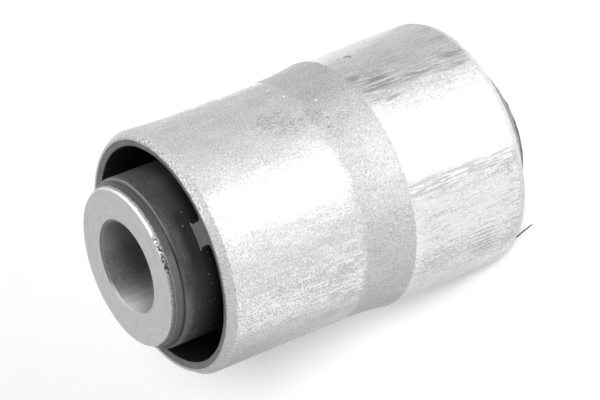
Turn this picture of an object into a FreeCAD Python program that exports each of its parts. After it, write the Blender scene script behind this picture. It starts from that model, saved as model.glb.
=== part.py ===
import FreeCAD, Part
import math
import os
import types
import Sketcher

# Rubber metal bush: a thick inner sleeve for a bolt, a thin stepped outer sleeve that is pressed
# into an eye, and a rubber body moulded between the two and bonded to both.
# Frame: +Z is the axis of the bush, and the origin is the centre of the inner sleeve's rear end
# face. The front end, with the smaller press seat, is at the top. The webs lie on +Y and -Y.
os.makedirs("parts", exist_ok=True)
doc = FreeCAD.newDocument("rubber_metal_bush")

# Driving sizes, in millimetres
SIZES = (
    ("inner_length", 64.0, "inner sleeve, end face to end face"),
    ("inner_diameter", 25.3, "inner sleeve, outside"),
    ("bore_diameter", 14.2, "inner sleeve, clear hole for an M14 bolt"),
    ("bore_chamfer_width", 0.44, "chamfer at each mouth of the bore, across"),
    ("bore_chamfer_depth", 0.28, "chamfer at each mouth of the bore, along"),
    ("end_chamfer_width", 0.5, "chamfer outside each end of the inner sleeve, across"),
    ("end_chamfer_depth", 0.9, "chamfer outside each end of the inner sleeve, along"),
    ("sleeve_length", 53.0, "outer sleeve, rim to rim"),
    ("front_stand_out", 5.6, "inner sleeve in front of the outer sleeve's front rim"),
    ("front_seat_diameter", 38.0, "outer sleeve, front press seat"),
    ("rear_seat_diameter", 39.4, "outer sleeve, rear press seat"),
    ("sleeve_wall", 1.2, "outer sleeve, wall"),
    ("front_seat_length", 24.5, "front rim to the start of the flare"),
    ("flare_length", 8.0, "flare between the two press seats"),
    ("crest_round", 10.0, "rounding where the flare meets the rear seat"),
    ("front_lead_width", 0.82, "lead-in taper at the front rim, across"),
    ("front_lead_length", 1.25, "lead-in taper at the front rim, along"),
    ("rear_lead_width", 0.4, "taper at the rear rim, across"),
    ("rear_lead_length", 1.0, "taper at the rear rim, along"),
    ("skin_thickness", 0.6, "rubber over the inner sleeve"),
    ("skin_set_back", 1.85, "bare end of the inner sleeve, in front of the rubber"),
    ("skin_lip", 0.3, "chamfered lip of the rubber at each end"),
    ("lining_thickness", 1.0, "rubber inside the outer sleeve, beside a recess"),
    ("lining_set_back", 0.2, "rubber lining and webs below each rim"),
    ("recess_depth", 14.0, "recess in each end of the rubber"),
    ("web_width", 3.6, "web that bridges a recess"),
    ("web_root_round", 0.9, "rounding where a web meets the skin and the lining"),
    ("floor_chamfer", 0.5, "chamfer round the floor of a recess"),
)


class Size:
    """A length together with the sheet formula that gives it, so that each is written once."""

    def __init__(self, value, formula):
        self.value = value
        self.formula = formula

    def __add__(self, other):
        return Size(self.value + other.value, f"({self.formula} + {other.formula})")

    def __sub__(self, other):
        return Size(self.value - other.value, f"({self.formula} - {other.formula})")

    def half(self):
        return Size(self.value / 2, f"({self.formula} / 2)")

    def share(self, part):
        return Size(self.value * part, f"({self.formula} * {part})")

    def at_most(self, other):
        return Size(min(self.value, other.value), f"min({self.formula}; {other.formula})")


def fill_sheet():
    sheet = doc.addObject("Spreadsheet::Sheet", "sizes")
    for row, (alias, value, note) in enumerate(SIZES, start=1):
        sheet.set(f"A{row}", note)
        sheet.set(f"B{row}", str(value))
        sheet.setAlias(f"B{row}", alias)
    doc.recompute()
    return types.SimpleNamespace(**{name: Size(value, f"sizes.{name}") for name, value, _ in SIZES})


size = fill_sheet()
ZERO = Size(0.0, "0")

# Radii and heights that more than one piece shares. Heights in the outer sleeve and the rubber
# are counted from the outer sleeve's rear rim.
inner_radius = size.inner_diameter.half()
front_radius = size.front_seat_diameter.half()
rear_radius = size.rear_seat_diameter.half()
front_hollow = front_radius - size.sleeve_wall
rear_hollow = rear_radius - size.sleeve_wall
flare_start = size.sleeve_length - size.front_seat_length
crest = flare_start - size.flare_length
rear_stand_out = size.inner_length - size.sleeve_length - size.front_stand_out
skin_radius = inner_radius + size.skin_thickness

# How a sketch counts the points of a side, and its own axis and origin
_, START, END, CENTRE = range(4)
X_AXIS = -START
ORIGIN = (X_AXIS, START)
SAME_SPOT = 1e-6
SAME_HEIGHT = 1e-3

# The largest share of a recess's width that a web's root may take, and of the root that the
# floor's chamfer may take
ROOT_SHARE = 0.4
FLOOR_SHARE = 0.8


def origin_plane(body, role):
    return next(plane for plane in body.Origin.OriginFeatures if plane.Role == role)


def new_body(name, height=ZERO):
    body = doc.addObject("PartDesign::Body", name)
    body.Label = name
    body.setExpression("Placement.Base.z", height.formula)
    return body


def new_sketch(body, name, role, height=ZERO):
    sketch = body.newObject("Sketcher::SketchObject", name)
    sketch.AttachmentSupport = [(origin_plane(body, role), "")]
    sketch.MapMode = "FlatFace"
    sketch.setExpression("AttachmentOffset.Base.z", height.formula)
    return sketch


def bind(sketch, kind, *members, length):
    """Adds a dimension to a sketch and ties it to the sheet."""
    index = sketch.addConstraint(Sketcher.Constraint(kind, *members, length.value))
    sketch.setExpression(f"Constraints[{index}]", length.formula)


def place(sketch, geometry, point, x, y):
    """Puts one end of a line or an arc at x, y from the sketch's origin."""
    bind(sketch, "DistanceX", *ORIGIN, geometry, point, length=x)
    if y is ZERO:
        sketch.addConstraint(Sketcher.Constraint("PointOnObject", geometry, point, X_AXIS))
    else:
        bind(sketch, "DistanceY", *ORIGIN, geometry, point, length=y)


def arc_round(centre, start, end):
    """The shorter arc round a centre, from start to end."""
    middle = (start - centre) + (end - centre)
    return Part.Arc(start, centre + middle.normalize() * start.distanceToPoint(centre), end)


def arc_along_wall(wall_end, far_end):
    """The arc that leaves an upright wall without a corner and ends at far_end."""
    rise = far_end - wall_end
    radius = (rise.x ** 2 + rise.y ** 2) / (2 * rise.x)
    return arc_round(wall_end + FreeCAD.Vector(radius, 0, 0), wall_end, far_end)


def join_round(sketch, spots, sides, smooth):
    """Adds the sides of a closed outline, side n from spot n to the next, and joins each to the
    one before, tangent at the spots in smooth. Returns the point of each side that is its start."""
    for side in sides:
        sketch.addGeometry(side, False)

    def end_at(side, spot):
        return START if sketch.getPoint(side, START).isEqual(spot, SAME_SPOT) else END

    starts = []
    for number, spot in enumerate(spots):
        before = (number - 1) % len(spots)
        leaving = end_at(number, spot)
        joint = "Tangent" if number in smooth else "Coincident"
        members = (before, end_at(before, spot), number, leaving)
        sketch.addConstraint(Sketcher.Constraint(joint, *members))
        starts.append(leaving)
    return starts


def draw_outline(sketch, corners, arcs):
    """Joins the corners in turn, each tied to its sizes. arcs names the sides that are arcs, by the
    number of their first corner, and says at which of their two corners a wall runs on smoothly."""
    spots = [FreeCAD.Vector(x.value, y.value, 0) for x, y in corners]
    sides = []
    for number, here in enumerate(spots):
        there = spots[(number + 1) % len(spots)]
        if number not in arcs:
            sides.append(Part.LineSegment(here, there))
        elif arcs[number] == number:
            sides.append(arc_along_wall(here, there))
        else:
            sides.append(arc_along_wall(there, here))
    starts = join_round(sketch, spots, sides, set(arcs.values()))
    for number, (x, y) in enumerate(corners):
        place(sketch, number, starts[number], x, y)


def revolve(body, name, corners, arcs=types.MappingProxyType({})):
    """Turns a closed outline, drawn in radius and height, once round the body's axis."""
    sketch = new_sketch(body, name + "_outline", "XZ_Plane")
    draw_outline(sketch, corners, arcs)
    turned = body.newObject("PartDesign::Revolution", name)
    turned.Profile = sketch
    turned.ReferenceAxis = (sketch, ["V_Axis"])
    turned.Angle = 360
    sketch.Visibility = False
    doc.recompute()
    return turned


def finish_edges(body, kind, name, base, size_name, amount, wanted):
    """Adds a Fillet or a Chamfer to the edges of the base feature for which wanted(edge) is true."""
    edges = [f"Edge{n}" for n, edge in enumerate(base.Shape.Edges, start=1) if wanted(edge)]
    if not edges:
        raise RuntimeError(f"{name}: no edge to finish")
    feature = body.newObject(kind, name)
    feature.Base = (base, edges)
    feature.setExpression(size_name, amount.formula)
    doc.recompute()
    return feature


def round_edges(body, name, base, radius, wanted):
    return finish_edges(body, "PartDesign::Fillet", name, base, "Radius", radius, wanted)


def chamfer_edges(body, name, base, width, wanted):
    return finish_edges(body, "PartDesign::Chamfer", name, base, "Size", width, wanted)


def is_ring(edge, radius, height):
    """True for a full circle of this radius round the axis at this height."""
    curve = edge.Curve
    if not isinstance(curve, Part.Circle):
        return False
    misses = (curve.Radius - radius.value, curve.Center.z - height.value)
    return max(abs(miss) for miss in misses) < SAME_HEIGHT


# Inner sleeve: a thick turned tube, chamfered inside and outside at both ends
def make_inner_sleeve():
    body = new_body("inner_sleeve")
    bore = size.bore_diameter.half()
    mouth = bore + size.bore_chamfer_width
    face = inner_radius - size.end_chamfer_width
    top = size.inner_length
    corners = (
        (mouth, ZERO),
        (face, ZERO),
        (inner_radius, size.end_chamfer_depth),
        (inner_radius, top - size.end_chamfer_depth),
        (face, top),
        (mouth, top),
        (bore, top - size.bore_chamfer_depth),
        (bore, size.bore_chamfer_depth),
    )
    revolve(body, "turned_tube", corners)
    return body


# Outer sleeve: thin tube, opened by a flare from the front seat to the rear seat. Outside, the
# flare is an arc that runs out of the front seat without a corner. Inside it is a plain cone.
def make_outer_sleeve():
    body = new_body("outer_sleeve", rear_stand_out)
    top = size.sleeve_length
    corners = (
        (rear_radius - size.rear_lead_width, ZERO),
        (rear_radius, size.rear_lead_length),
        (rear_radius, crest),
        (front_radius, flare_start),
        (front_radius, top - size.front_lead_length),
        (front_radius - size.front_lead_width, top),
        (front_hollow, top),
        (front_hollow, flare_start),
        (rear_hollow, crest),
        (rear_hollow, ZERO),
    )
    crest_corner, flare_corner = 2, 3
    tube = revolve(body, "flared_tube", corners, {crest_corner: flare_corner})
    round_edges(body, "crest_rounding", tube, size.crest_round,
                lambda edge: is_ring(edge, rear_radius, crest))
    return body


# One end of the rubber: a kidney recess on each side of the webs. Its corners, which are the
# webs' roots, are rounded, and its floor is chamfered round.
def draw_kidney(sketch, inner, outer, root):
    """Draws the kidney on the +X side, anticlockwise: outer arc, upper web, inner arc, lower web,
    with a rounded root after each."""
    half_web = size.web_width.half()
    across = half_web + root

    def upper_root(radius, reach):
        """Centre of the root that meets the arc of this radius, and its ends on arc and web."""
        centre = FreeCAD.Vector(across.value, math.sqrt(reach.value ** 2 - across.value ** 2), 0)
        on_arc = centre * (radius.value / reach.value)
        return centre, on_arc, FreeCAD.Vector(half_web.value, centre.y, 0)

    def below(spot):
        return FreeCAD.Vector(spot.x, -spot.y, 0)

    middle = FreeCAD.Vector()
    outer_centre, outer_arc_end, outer_web_end = upper_root(outer, outer - root)
    inner_centre, inner_arc_end, inner_web_end = upper_root(inner, inner + root)
    # The spot where each side starts, and its centre and radius if it is an arc
    course = (
        (below(outer_arc_end), middle, outer),
        (outer_arc_end, outer_centre, root),
        (outer_web_end, None, None),
        (inner_web_end, inner_centre, root),
        (inner_arc_end, middle, inner),
        (below(inner_arc_end), below(inner_centre), root),
        (below(inner_web_end), None, None),
        (below(outer_web_end), below(outer_centre), root),
    )
    spots = [spot for spot, _, _ in course]
    sides = []
    for number, (here, centre, _) in enumerate(course):
        there = spots[(number + 1) % len(spots)]
        sides.append(arc_round(centre, here, there) if centre else Part.LineSegment(here, there))
    starts = join_round(sketch, spots, sides, set(range(len(spots))))
    for number, (_, centre, radius) in enumerate(course):
        if centre is middle:
            sketch.addConstraint(Sketcher.Constraint("Coincident", number, CENTRE, *ORIGIN))
        if radius:
            bind(sketch, "Radius", number, length=radius)
        else:
            sketch.addConstraint(Sketcher.Constraint("Vertical", number))
            bind(sketch, "DistanceX", *ORIGIN, number, starts[number], length=half_web)


def cut_recess(body, end_name, base, mouth, outer, upwards):
    """Cuts both kidneys of one end, from the mouth's height into the rubber."""
    root = size.web_root_round.at_most((outer - skin_radius).share(ROOT_SHARE))
    sketch = new_sketch(body, end_name + "_kidney", "XY_Plane", mouth)
    draw_kidney(sketch, skin_radius, outer, root)
    pocket = body.newObject("PartDesign::Pocket", end_name + "_recess")
    pocket.Profile = sketch
    pocket.setExpression("Length", size.recess_depth.formula)
    pocket.Reversed = upwards
    sketch.Visibility = False
    pair = body.newObject("PartDesign::Mirrored", end_name + "_recess_pair")
    pair.Originals = [pocket]
    pair.MirrorPlane = (origin_plane(body, "YZ_Plane"), [""])
    body.Tip = pair
    doc.recompute()
    if pair.Shape.Volume >= base.Shape.Volume:
        raise RuntimeError(f"{end_name}: the recess cuts nothing")
    floor = mouth + size.recess_depth if upwards else mouth - size.recess_depth
    width = size.floor_chamfer.at_most(root.share(FLOOR_SHARE))

    def lies_on_the_floor(edge):
        return all(abs(vertex.Z - floor.value) < SAME_HEIGHT for vertex in edge.Vertexes)

    return chamfer_edges(body, end_name + "_floor_chamfer", pair, width, lies_on_the_floor)


# Rubber body: fills the space between the sleeves, with a thin skin that runs on along the inner
# sleeve beyond both rims
def make_rubber_body():
    body = new_body("rubber_body", rear_stand_out)
    rear_tip = size.skin_set_back - rear_stand_out
    front_tip = size.sleeve_length + size.front_stand_out - size.skin_set_back
    rear_mouth = size.lining_set_back
    front_mouth = size.sleeve_length - size.lining_set_back
    corners = (
        (inner_radius, rear_tip),
        (skin_radius, rear_tip),
        (skin_radius, rear_mouth),
        (rear_hollow, rear_mouth),
        (rear_hollow, crest),
        (front_hollow, flare_start),
        (front_hollow, front_mouth),
        (skin_radius, front_mouth),
        (skin_radius, front_tip),
        (inner_radius, front_tip),
    )
    moulding = revolve(body, "moulding", corners)
    tips = (rear_tip, front_tip)
    lips = chamfer_edges(body, "skin_lips", moulding, size.skin_lip,
                         lambda edge: any(is_ring(edge, skin_radius, tip) for tip in tips))
    rear = cut_recess(body, "rear", lips, rear_mouth, rear_hollow - size.lining_thickness, True)
    cut_recess(body, "front", rear, front_mouth, front_hollow - size.lining_thickness, False)
    return body


def export(bodies):
    """Writes each piece to its own file, once every feature is sound."""
    doc.recompute()
    for item in doc.Objects:
        if {"Invalid", "Error"} & set(item.State):
            raise RuntimeError(f"{item.Label} failed: {item.State}")
    for body in bodies:
        shape = body.Shape
        if shape.isNull() or not shape.isValid() or len(shape.Solids) != 1:
            raise RuntimeError(f"{body.Label} is not one sound solid")
        box = shape.BoundBox
        print(f"{body.Label}: {shape.Volume / 1000:.2f} cm3, z {box.ZMin:.2f} to {box.ZMax:.2f} mm")
        shape.exportStep(f"parts/{body.Label}.step")


export([make_inner_sleeve(), make_outer_sleeve(), make_rubber_body()])
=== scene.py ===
# %% [markdown]
# # A rubber metal bush
# The bush is three pieces: a thick inner sleeve for a bolt, a thin stepped outer sleeve that is
# pressed into an eye, and a rubber body moulded between them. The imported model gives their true
# sizes. Here each piece is turned or lofted again as a finer mesh, with the small rounds and
# nicks that catch the light, and gets its finish. The frame is the first thing to load, because
# every size below is read from it or set against it.

# %% Load the frame
import math
from types import SimpleNamespace

import bmesh
import bpy
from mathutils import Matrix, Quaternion, Vector, noise
from mathutils.geometry import tessellate_polygon


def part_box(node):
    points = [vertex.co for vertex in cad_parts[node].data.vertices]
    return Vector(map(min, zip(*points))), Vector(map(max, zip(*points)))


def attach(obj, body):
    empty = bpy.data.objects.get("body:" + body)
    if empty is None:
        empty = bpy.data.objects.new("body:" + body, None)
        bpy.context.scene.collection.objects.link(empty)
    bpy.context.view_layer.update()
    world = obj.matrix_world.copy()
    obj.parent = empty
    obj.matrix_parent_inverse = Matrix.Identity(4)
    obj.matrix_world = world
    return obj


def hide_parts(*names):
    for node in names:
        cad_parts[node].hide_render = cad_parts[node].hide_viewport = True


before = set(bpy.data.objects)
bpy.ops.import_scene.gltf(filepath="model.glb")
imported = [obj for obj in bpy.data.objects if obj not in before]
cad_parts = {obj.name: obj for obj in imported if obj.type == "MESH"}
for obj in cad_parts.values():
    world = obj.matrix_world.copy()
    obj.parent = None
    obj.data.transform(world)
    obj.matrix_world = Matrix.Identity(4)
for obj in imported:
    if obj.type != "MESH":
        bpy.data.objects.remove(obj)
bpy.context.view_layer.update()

# %% [markdown]
# ## Units
# Blender works in metres here, and a turned part is easier to read in millimetres. So sizes are
# written in millimetres, and one number turns them into metres where a mesh is made.

# %% Units and sizes that the frame gives
MM = 0.001
SAME_SPOT = 1e-4


def node_box(name):
    """Lowest and highest corner of a piece of the frame, in millimetres."""
    return [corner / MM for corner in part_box(name)]


_, inner_high = node_box("inner_sleeve")
outer_low, outer_high = node_box("outer_sleeve")
rubber_low, rubber_high = node_box("rubber_body")
INNER_RADIUS = round(inner_high.x, 2)
REAR_RADIUS = round(outer_high.x, 1)
REAR_RIM, FRONT_RIM = outer_low.z, outer_high.z
REAR_TIP, FRONT_TIP = rubber_low.z, rubber_high.z
INNER_LENGTH = inner_high.z
print("rims at", round(REAR_RIM, 2), round(FRONT_RIM, 2), "rear radius", REAR_RADIUS)

# %% [markdown]
# ## Sizes inside the pieces
# The frame's boxes give the outer sizes only. The steps, tapers and walls inside those boxes are
# repeated here from the part's own sizes, so that each new mesh keeps the form of the solid that
# it stands for.

# %% Sizes of the steps, tapers and walls, in millimetres
BORE_RADIUS = 7.1
BORE_CHAMFER = (0.44, 0.28)
END_CHAMFER = (0.5, 0.9)
face_radius = INNER_RADIUS - END_CHAMFER[0]
mouth_radius = BORE_RADIUS + BORE_CHAMFER[0]
FRONT_RADIUS = 19.0
SLEEVE_WALL = 1.2
FLARE_TOP = FRONT_RIM - 24.5
CREST = FLARE_TOP - 8.0
CREST_ROUND = 10.0
FRONT_LEAD = (0.82, 1.25)
REAR_LEAD = (0.4, 1.0)
SKIN_RADIUS = INNER_RADIUS + 0.6
LINING = 1.0
LINING_SET_BACK = 0.2
RECESS_DEPTH = 14.0
WEB_HALF = 1.8
WEB_ROOT = 0.9
FLOOR_ROUND = 0.5
TIP_ROUND = 0.3
print("flare from z", round(CREST, 2), "to", round(FLARE_TOP, 2), "and walls of", SLEEVE_WALL)

# %% [markdown]
# ## Colours
# A colour that is read off a picture is an sRGB value, and a shader wants the linear one. One
# function does that, so every colour below can be written as the hex value that the eye knows.


# %% Colour from a hex value
def colour(hex_value):
    """Linear RGBA of an sRGB hex value such as "#C0C0C0"."""
    parts = [int(hex_value[i:i + 2], 16) / 255 for i in (1, 3, 5)]
    straight = [p / 12.92 if p <= 0.04045 else ((p + 0.055) / 1.055) ** 2.4 for p in parts]
    return (*straight, 1.0)


# %% [markdown]
# ## Building materials
# A procedural material is a chain of nodes. One small function adds a node, sets it, links it and
# hands on its first output, so that a material reads from its pattern down to its shader. All of
# this bush is grey, so most chains carry plain numbers: `grey` is the linear value of a hex tone.

# %% Add a node with its settings and links
FACTOR, FIRST, SECOND = 0, 2, 3


def grey(hex_value):
    return colour(hex_value)[0]


def add(tree, kind, inputs=None, **settings):
    """Adds a node and returns its first output. inputs gives a socket's value, or its source."""
    node = tree.nodes.new("ShaderNode" + kind)
    for name, value in settings.items():
        setattr(node, name, value)
    for socket, value in (inputs or {}).items():
        if isinstance(value, bpy.types.NodeSocket):
            tree.links.new(value, node.inputs[socket])
        else:
            node.inputs[socket].default_value = value
    return node.outputs[0] if node.outputs else None


def new_nodes(name, owner=bpy.data.materials):
    """A new material or world without nodes, and its node tree."""
    block = owner.new(name)
    block.use_nodes = True
    block.node_tree.nodes.clear()
    return block, block.node_tree


def finish(tree, inputs):
    """Closes a chain with the shader of the whole surface."""
    add(tree, "OutputMaterial", {"Surface": add(tree, "BsdfPrincipled", inputs)})


# %% [markdown]
# ## Places and patterns
# A turned piece is best painted by its own places: the angle round the axis, the distance from it
# and the height. On top of those lie a few patterns that come back on every piece: grain, rings,
# and a zone between two heights, whose edge the grain may stir.


# %% Places and patterns
FAR = 99  # millimetres, a limit that no place of the bush reaches


def turned_place(tree):
    """The place in millimetres, and with it the angle in degrees, the radius and the height."""
    place = add(tree, "TexCoord").node.outputs["Object"]
    place = add(tree, "VectorMath", {0: place, "Scale": 1 / MM}, operation="SCALE")
    x, y, z = add(tree, "SeparateXYZ", {0: place}).node.outputs
    angle = add(tree, "Math", {0: add(tree, "Math", {0: y, 1: x}, operation="ARCTAN2")}, operation="DEGREES")
    flat = add(tree, "VectorMath", {0: place, 1: (1, 1, 0)}, operation="MULTIPLY")
    radius = add(tree, "VectorMath", {0: flat}, operation="LENGTH").node.outputs["Value"]
    return place, angle, radius, z


def grain(tree, place, size, length=None, detail=1.0, wavy=0.0):
    """Noise from 0 to 1 with spots size millimetres across, and length millimetres long in Z."""
    stretch = (1 / size, 1 / size, 1 / (length or size))
    spots = add(tree, "VectorMath", {0: place, 1: stretch}, operation="MULTIPLY")
    return add(tree, "TexNoise", {0: spots, "Scale": 1.0, "Detail": detail, "Distortion": wavy})


def ring_grain(tree, angle, radius, size, reach, detail):
    """Noise in rings that are size millimetres wide. The longer the reach, the rounder they run."""
    around = add(tree, "Math", {0: angle, 1: reach}, operation="DIVIDE")
    return grain(tree, add(tree, "CombineXYZ", {"X": radius, "Y": around}), size, detail=detail)


def zone(tree, value, low, high, soft=0.1):
    """1 between two limits and 0 outside them, with an edge that is soft wide on each side."""
    rise = {"Value": value, "From Min": low - soft, "From Max": low + soft}
    fall = {"Value": value, "From Min": high + soft, "From Max": high - soft}
    sides = [add(tree, "MapRange", side, interpolation_type="SMOOTHSTEP") for side in (rise, fall)]
    return add(tree, "Math", {0: sides[0], 1: sides[1]}, operation="MULTIPLY")


def stirred(tree, value, pattern, reach):
    """A value that moves up or down by as much as half of reach, where the pattern does."""
    swing = add(tree, "Math", {0: pattern, 1: 0.5}, operation="SUBTRACT")
    return add(tree, "Math", {0: swing, 1: reach, 2: value}, operation="MULTIPLY_ADD")


# %% [markdown]
# Wear isn't even. How much there is of a finish goes by the angle, so a colour ramp reads it from
# a list of stops round the axis. A pattern then breaks that share up: its highest places get the
# finish, and the greater the share is, the lower they reach.

# %% Shares
HIGH_LEVEL, LOW_LEVEL = 0.68, 0.32


def above(tree, pattern, share, soft):
    """1 on the highest places of a pattern. The share from 0 to 1 is how much of it they cover."""
    level = add(tree, "MapRange", {"Value": share, "To Min": HIGH_LEVEL, "To Max": LOW_LEVEL})
    height = add(tree, "Math", {0: pattern, 1: level}, operation="SUBTRACT")
    edge = {"Value": height, "From Min": -soft, "From Max": soft}
    return add(tree, "MapRange", edge, interpolation_type="SMOOTHSTEP")


def round_axis(tree, angle, stops):
    """A share that follows (angle in degrees, share) stops once round the axis."""
    way = add(tree, "MapRange", {"Value": angle, "From Min": -180, "From Max": 180})
    node = add(tree, "ValToRGB", {0: way}).node
    node.color_ramp.interpolation = "EASE"
    points = node.color_ramp.elements
    while len(points) < len(stops):
        points.new(0.5)
    for point, (degrees, share) in zip(points, sorted(stops)):
        point.position = degrees / 360 + 0.5
        point.color = (share, share, share, 1.0)
    return node.outputs["Color"]


def only_at(tree, where, angle, stops):
    """A zone that shows only as far as its stops round the axis let it."""
    return add(tree, "Math", {0: where, 1: round_axis(tree, angle, stops)}, operation="MULTIPLY")


# %% [markdown]
# Some marks come once. Each is an oval at its own angle and height, which fades at its rim.

# %% Single marks
MARK_CORE = 0.4


def mark(tree, angle, z, spot):
    """1 in the middle of a single mark of the sleeve, fading to 0 at its rim."""
    at_angle, at_z, width, length = spot
    around = add(tree, "Math", {0: angle, 1: at_angle}, operation="SUBTRACT")
    around = add(tree, "Math", {0: around, 1: math.degrees(width / FRONT_RADIUS)}, operation="DIVIDE")
    along = add(tree, "Math", {0: z, 1: at_z}, operation="SUBTRACT")
    along = add(tree, "Math", {0: along, 1: length}, operation="DIVIDE")
    off = add(tree, "CombineXYZ", {"X": around, "Y": along})
    away = add(tree, "VectorMath", {0: off}, operation="LENGTH").node.outputs["Value"]
    edge = {"Value": away, "From Min": 1.0, "From Max": MARK_CORE}
    return add(tree, "MapRange", edge, interpolation_type="SMOOTHSTEP")


def marks(tree, angle, z, spots):
    """All marks of a list, each given as angle, height, width and length."""
    whole = mark(tree, angle, z, spots[0])
    for spot in spots[1:]:
        whole = add(tree, "Math", {0: whole, 1: mark(tree, angle, z, spot)}, operation="MAXIMUM")
    return whole


# %% [markdown]
# ## Turned outlines
# A turned piece is an outline swept once round the axis. The outline is a list of corners, each
# with the radius of its rounding, because no real edge is sharp: even a broken edge of 0.1 mm
# draws the thin bright line that the eye reads as metal. A point is held right beside each round,
# so that the long sides next to it are still shaded flat.


# %% Round the corners of an outline
ROUND_STEPS = 5
HOLD = 0.06


def softened(corners, closed=True):
    """Points of an outline whose corners (radius, height, rounding) are rounded."""
    points = []
    count = len(corners)
    for number, (r, z, rounding) in enumerate(corners):
        here = Vector((r, z))
        before, after = corners[number - 1], corners[(number + 1) % count]
        if rounding == 0 or (not closed and number in (0, count - 1)):
            points.append(here)
            continue
        back = (Vector(before[:2]) - here).normalized()
        ahead = (Vector(after[:2]) - here).normalized()
        half = math.acos(max(-1.0, min(1.0, back.dot(ahead)))) / 2
        reach = rounding / math.tan(half)
        centre = here + (back + ahead).normalized() * rounding / math.sin(half)
        start, end = here + back * reach, here + ahead * reach
        points.append(start + back * HOLD)
        turn = (start - centre).angle_signed(end - centre)
        for step in range(ROUND_STEPS + 1):
            spin = turn * step / ROUND_STEPS
            arm = start - centre
            turned = Vector((arm.x * math.cos(spin) + arm.y * math.sin(spin),
                             arm.y * math.cos(spin) - arm.x * math.sin(spin)))
            points.append(centre + turned)
        points.append(end + ahead * HOLD)
    return points


# %% [markdown]
# Long sides are divided, because the grain and the wear of a mesh need points to hold on to, and
# long thin faces shade badly. The flare and the crest are arcs, so they are made of points too.

# %% Divide sides and make arcs
LONGEST_STEP = 0.8


def divided(points, closed=True):
    """The same outline with no side longer than LONGEST_STEP."""
    result = []
    ends = points[1:] + points[:1] if closed else points[1:]
    for here, there in zip(points, ends):
        pieces = max(1, math.ceil((there - here).length / LONGEST_STEP))
        result += [here.lerp(there, step / pieces) for step in range(pieces)]
    return result if closed else result + [points[-1]]


def arc_points(centre, radius, first, last, steps):
    """Points of an arc round a centre, from one angle to another."""
    angles = [first + (last - first) * step / steps for step in range(steps + 1)]
    return [Vector((centre[0] + radius * math.cos(a), centre[1] + radius * math.sin(a))) for a in angles]


# %% [markdown]
# Every piece ends the same way: its points and faces become a mesh, points that lie on the same
# spot are merged, and all but the sharp edges are shaded smooth. The count of open edges shows
# whether the mesh is closed, as a solid's is.

# %% Make an object of points and faces
SHARP = math.radians(38)


def finish_mesh(name, points, faces, material):
    """Makes an object of points in millimetres, shaded smooth but for its sharp edges."""
    mesh = bpy.data.meshes.new(name)
    mesh.from_pydata([Vector(p) * MM for p in points], [], faces)
    tidy = bmesh.new()
    tidy.from_mesh(mesh)
    bmesh.ops.remove_doubles(tidy, verts=tidy.verts, dist=SAME_SPOT * MM)
    open_edges = sum(not edge.is_manifold for edge in tidy.edges)
    bmesh.ops.recalc_face_normals(tidy, faces=tidy.faces)
    tidy.to_mesh(mesh)
    tidy.free()
    mesh.shade_smooth()
    mesh.set_sharp_from_angle(angle=SHARP)
    mesh.materials.append(material)
    piece = bpy.data.objects.new(name, mesh)
    bpy.context.scene.collection.objects.link(piece)
    print(name, len(mesh.polygons), "faces,", open_edges, "open edges")
    return piece


# %% [markdown]
# The sweep itself is a grid of points: one ring of them for each point of the outline. A small
# function may move each point a little, which is where ragged and knocked edges come from. The
# new mesh then takes the place of its piece in the frame, and stays where that piece is.


# %% Sweep an outline round the axis
def turn(name, outline, segments, material, wear=None):
    """Sweeps a closed outline round the axis. wear(r, angle, z) returns the worn r and z."""
    points, faces = [], []
    for r, z in outline:
        for step in range(segments):
            angle = 2 * math.pi * step / segments
            worn_r, worn_z = wear(r, angle, z) if wear else (r, z)
            points.append((worn_r * math.cos(angle), worn_r * math.sin(angle), worn_z))
    rings = len(outline)
    for ring in range(rings):
        lower, upper = ring * segments, (ring + 1) % rings * segments
        for step in range(segments):
            after = (step + 1) % segments
            faces.append((lower + step, lower + after, upper + after, upper + step))
    return finish_mesh(name, points, faces, material)


def stand_in(piece, name):
    """The piece stands for a node of the frame: it joins the root body, and the node is hidden."""
    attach(piece, "root")
    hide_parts(name)


# %% [markdown]
# ## Outer sleeve
# From the front the sleeve has a lead-in taper, the smaller seat, a flare that opens like a
# trumpet, a rounded crest and the larger seat. The flare is an arc that leaves the front seat
# without a corner, and the crest is a second arc that meets it, so their touching point is
# worked out from the two centres.

# %% Outline of the outer sleeve
FLARE_STEPS = 26
CREST_STEPS = 8
SLEEVE_SEGMENTS = 420

step_out = REAR_RADIUS - FRONT_RADIUS
flare_radius = (step_out ** 2 + (FLARE_TOP - CREST) ** 2) / (2 * step_out)
flare_centre = Vector((FRONT_RADIUS + flare_radius, FLARE_TOP))
across = flare_centre.x - (REAR_RADIUS - CREST_ROUND)
down = math.sqrt((flare_radius + CREST_ROUND) ** 2 - across ** 2)
crest_centre = Vector((REAR_RADIUS - CREST_ROUND, FLARE_TOP - down))
meeting = math.atan2(down, across)
crest_arc = arc_points(crest_centre, CREST_ROUND, 0.0, meeting, CREST_STEPS)
flare_arc = arc_points(flare_centre, flare_radius, math.pi + meeting, math.pi, FLARE_STEPS)
print("crest rounding from z", round(crest_centre.y, 2), "to", round(crest_arc[-1].y, 2))

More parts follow.
